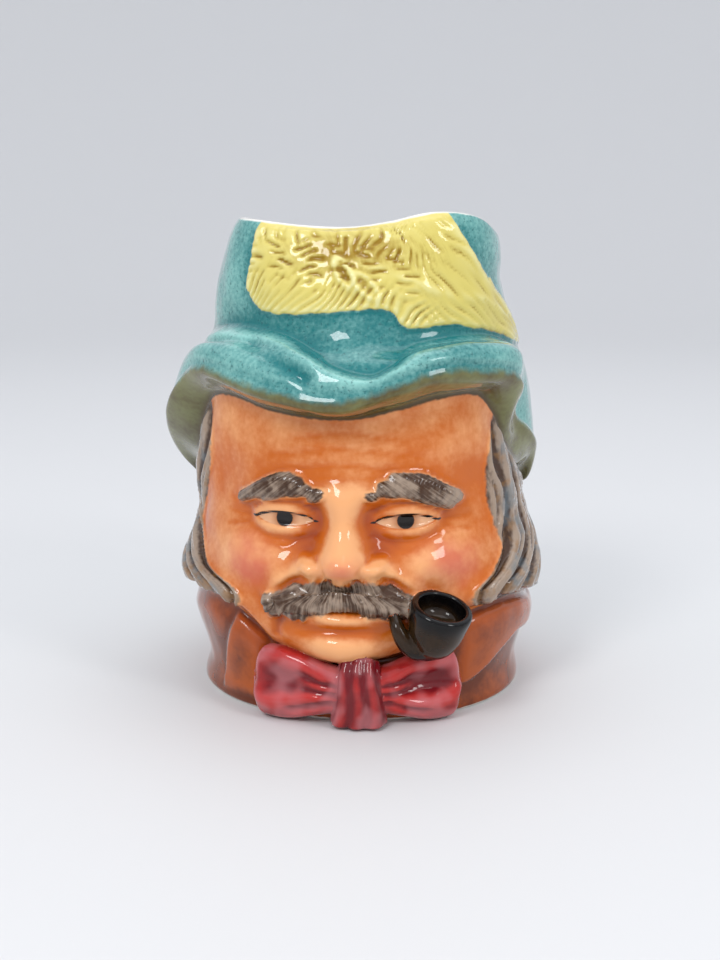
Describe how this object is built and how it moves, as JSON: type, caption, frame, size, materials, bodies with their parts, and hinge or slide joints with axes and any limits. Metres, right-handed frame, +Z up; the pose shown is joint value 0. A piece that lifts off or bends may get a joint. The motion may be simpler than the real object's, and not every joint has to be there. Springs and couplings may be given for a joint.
{
  "type": "character jug",
  "caption": "Glazed earthenware jug cast as an old man's head in a soft hat, with a pipe, a bow tie and a loop handle",
  "frame": {"origin": "centre of the flat foot, on the surface that the jug stands on", "axes": "+Z up out of the mouth, -Y the way the face looks, +X towards the pipe's side"},
  "size_m": [0.1054, 0.1261, 0.1281],
  "materials": {
    "glazed_earthenware": "glossy clear glaze over painted colours"
  },
  "bodies": {
    "root": {"toby_jug": "glazed_earthenware"}
  },
  "joints": []
}
